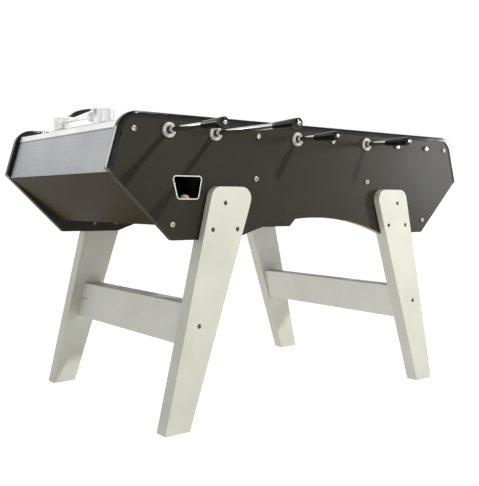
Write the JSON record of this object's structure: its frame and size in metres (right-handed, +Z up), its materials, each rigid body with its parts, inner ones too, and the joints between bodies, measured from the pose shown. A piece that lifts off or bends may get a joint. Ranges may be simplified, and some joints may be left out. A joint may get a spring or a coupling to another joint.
{
  "type": "foosball table",
  "caption": "Table football game: panelled cabinet on splayed plank legs, telescopic player rods that slide and turn, goals with ball return, score markers.",
  "frame": {"origin": "on the floor, under the centre of the table", "axes": "+X along the table's length, +Y across it to the side that faces away, +Z up"},
  "size_m": [1.5, 1.472, 0.9279],
  "materials": {
    "dark_laminate": "satin laminate on board",
    "liner_black": "satin black painted board",
    "gloss_black": "glossy black moulding",
    "silver_panel": "fine brushed metal-faced board",
    "silver_ledge": "satin metal-faced board",
    "dark_underside": "matt dark olive-brown laminate",
    "field_green": "matt green playing surface",
    "raw_wood": "planed softwood",
    "black_tray": "matt black painted board",
    "chrome": "polished chrome",
    "cork": "natural cork",
    "ivory_paint": "satin off-white paint on wood",
    "dark_steel": "dark zinc-plated steel",
    "polished_metal": "polished metal",
    "white_plastic": "glossy white",
    "steel": "ground steel",
    "handle_black": "glossy black",
    "players_red": "gloss enamel on cast metal",
    "players_blue": "gloss enamel on cast metal"
  },
  "bodies": {
    "cabinet": {"side_panel_front": "dark_laminate", "liner_board_front": "liner_black", "edge_moulding_front": "gloss_black", "side_panel_back": "dark_laminate", "liner_board_back": "liner_black", "edge_moulding_back": "gloss_black", "end_panel_left": "silver_panel", "end_panel_right": "silver_panel", "lower_end_panels": "dark_underside", "end_ledges": "silver_ledge", "playfield": "field_green", "goal_walls": "liner_black", "cabinet_floor": "dark_underside", "cross_beams": "raw_wood", "ball_chutes": "black_tray", "window_frames": "chrome", "balls": "cork", "leg_front_left": "ivory_paint", "leg_front_right": "ivory_paint", "leg_back_left": "ivory_paint", "leg_back_right": "ivory_paint", "stretchers": "ivory_paint", "leg_bolts": "dark_steel", "panel_bolts": "chrome", "rod_bearings": "chrome", "score_units": "polished_metal"},
    "score_marker_left": {"score_marker_left": "white_plastic"},
    "score_marker_right": {"score_marker_right": "white_plastic"},
    "shaft_1": {"inner_shaft_1": "steel"},
    "player_rod_1": {"rod_1": "chrome", "handle_1": "handle_black", "players_1": "players_red"},
    "shaft_2": {"inner_shaft_2": "steel"},
    "player_rod_2": {"rod_2": "chrome", "handle_2": "handle_black", "players_2": "players_red"},
    "shaft_3": {"inner_shaft_3": "steel"},
    "player_rod_3": {"rod_3": "chrome", "handle_3": "handle_black", "players_3": "players_blue"},
    "shaft_4": {"inner_shaft_4": "steel"},
    "player_rod_4": {"rod_4": "chrome", "handle_4": "handle_black", "players_4": "players_red"},
    "shaft_5": {"inner_shaft_5": "steel"},
    "player_rod_5": {"rod_5": "chrome", "handle_5": "handle_black", "players_5": "players_blue"},
    "shaft_6": {"inner_shaft_6": "steel"},
    "player_rod_6": {"rod_6": "chrome", "handle_6": "handle_black", "players_6": "players_red"},
    "shaft_7": {"inner_shaft_7": "steel"},
    "player_rod_7": {"rod_7": "chrome", "handle_7": "handle_black", "players_7": "players_blue"},
    "shaft_8": {"inner_shaft_8": "steel"},
    "player_rod_8": {"rod_8": "chrome", "handle_8": "handle_black", "players_8": "players_blue"}
  },
  "joints": [
    {"name": "score_slide_left", "type": "slide", "parent": "cabinet", "child": "score_marker_left", "axis": [0, 1, 0], "range_m": [0, 0.13]},
    {"name": "score_slide_right", "type": "slide", "parent": "cabinet", "child": "score_marker_right", "axis": [0, -1, 0], "range_m": [0, 0.13]},
    {"name": "rod_turn_1", "type": "hinge", "parent": "cabinet", "child": "shaft_1", "pos_m": [-0.56, 0, 0.854], "axis": [0, 1, 0], "continuous": true},
    {"name": "rod_slide_1", "type": "slide", "parent": "shaft_1", "child": "player_rod_1", "axis": [0, -1, 0], "range_m": [-0.147, 0.117]},
    {"name": "rod_turn_2", "type": "hinge", "parent": "cabinet", "child": "shaft_2", "pos_m": [-0.4, 0, 0.854], "axis": [0, 1, 0], "continuous": true},
    {"name": "rod_slide_2", "type": "slide", "parent": "shaft_2", "child": "player_rod_2", "axis": [0, -1, 0], "range_m": [-0.244, 0.13]},
    {"name": "rod_turn_3", "type": "hinge", "parent": "cabinet", "child": "shaft_3", "pos_m": [-0.24, 0, 0.854], "axis": [0, 1, 0], "continuous": true},
    {"name": "rod_slide_3", "type": "slide", "parent": "shaft_3", "child": "player_rod_3", "axis": [0, 1, 0], "range_m": [-0.072, 0.132]},
    {"name": "rod_turn_4", "type": "hinge", "parent": "cabinet", "child": "shaft_4", "pos_m": [-0.08, 0, 0.854], "axis": [0, 1, 0], "continuous": true},
    {"name": "rod_slide_4", "type": "slide", "parent": "shaft_4", "child": "player_rod_4", "axis": [0, -1, 0], "range_m": [-0.065, 0.029]},
    {"name": "rod_turn_5", "type": "hinge", "parent": "cabinet", "child": "shaft_5", "pos_m": [0.08, 0, 0.854], "axis": [0, 1, 0], "continuous": true},
    {"name": "rod_slide_5", "type": "slide", "parent": "shaft_5", "child": "player_rod_5", "axis": [0, 1, 0], "range_m": [-0.065, 0.029]},
    {"name": "rod_turn_6", "type": "hinge", "parent": "cabinet", "child": "shaft_6", "pos_m": [0.24, 0, 0.854], "axis": [0, 1, 0], "continuous": true},
    {"name": "rod_slide_6", "type": "slide", "parent": "shaft_6", "child": "player_rod_6", "axis": [0, -1, 0], "range_m": [-0.072, 0.132]},
    {"name": "rod_turn_7", "type": "hinge", "parent": "cabinet", "child": "shaft_7", "pos_m": [0.4, 0, 0.854], "axis": [0, 1, 0], "continuous": true},
    {"name": "rod_slide_7", "type": "slide", "parent": "shaft_7", "child": "player_rod_7", "axis": [0, 1, 0], "range_m": [-0.244, 0.13]},
    {"name": "rod_turn_8", "type": "hinge", "parent": "cabinet", "child": "shaft_8", "pos_m": [0.56, 0, 0.854], "axis": [0, 1, 0], "continuous": true},
    {"name": "rod_slide_8", "type": "slide", "parent": "shaft_8", "child": "player_rod_8", "axis": [0, 1, 0], "range_m": [-0.147, 0.117]}
  ]
}
